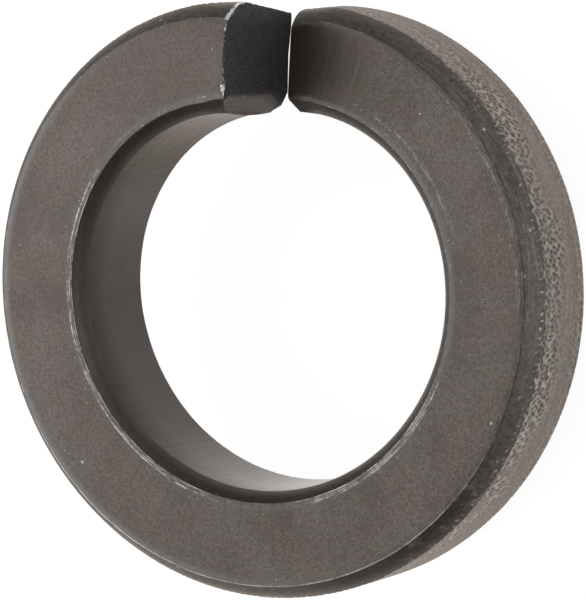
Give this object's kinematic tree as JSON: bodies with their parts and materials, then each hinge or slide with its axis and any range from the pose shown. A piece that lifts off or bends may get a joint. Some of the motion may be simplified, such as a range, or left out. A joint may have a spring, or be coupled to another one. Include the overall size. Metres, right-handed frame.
{
  "type": "split spring lock washer",
  "caption": "Heavy split spring lock washer: one left-hand turn of nearly square steel bar with bevelled corners, its sheared ends sprung apart along the axis.",
  "frame": {"origin": "on the bore axis, midway between the two ends along the axis", "axes": "+Z along the bore axis, +X through the cut in the ring; the bar's high end is on the +Y side of the cut"},
  "size_m": [0.0506, 0.0506, 0.0208],
  "materials": {
    "blackened_steel": "satin brown-black oxide, worn bright along the edges"
  },
  "bodies": {
    "root": {"spring_ring": "blackened_steel"}
  },
  "joints": []
}
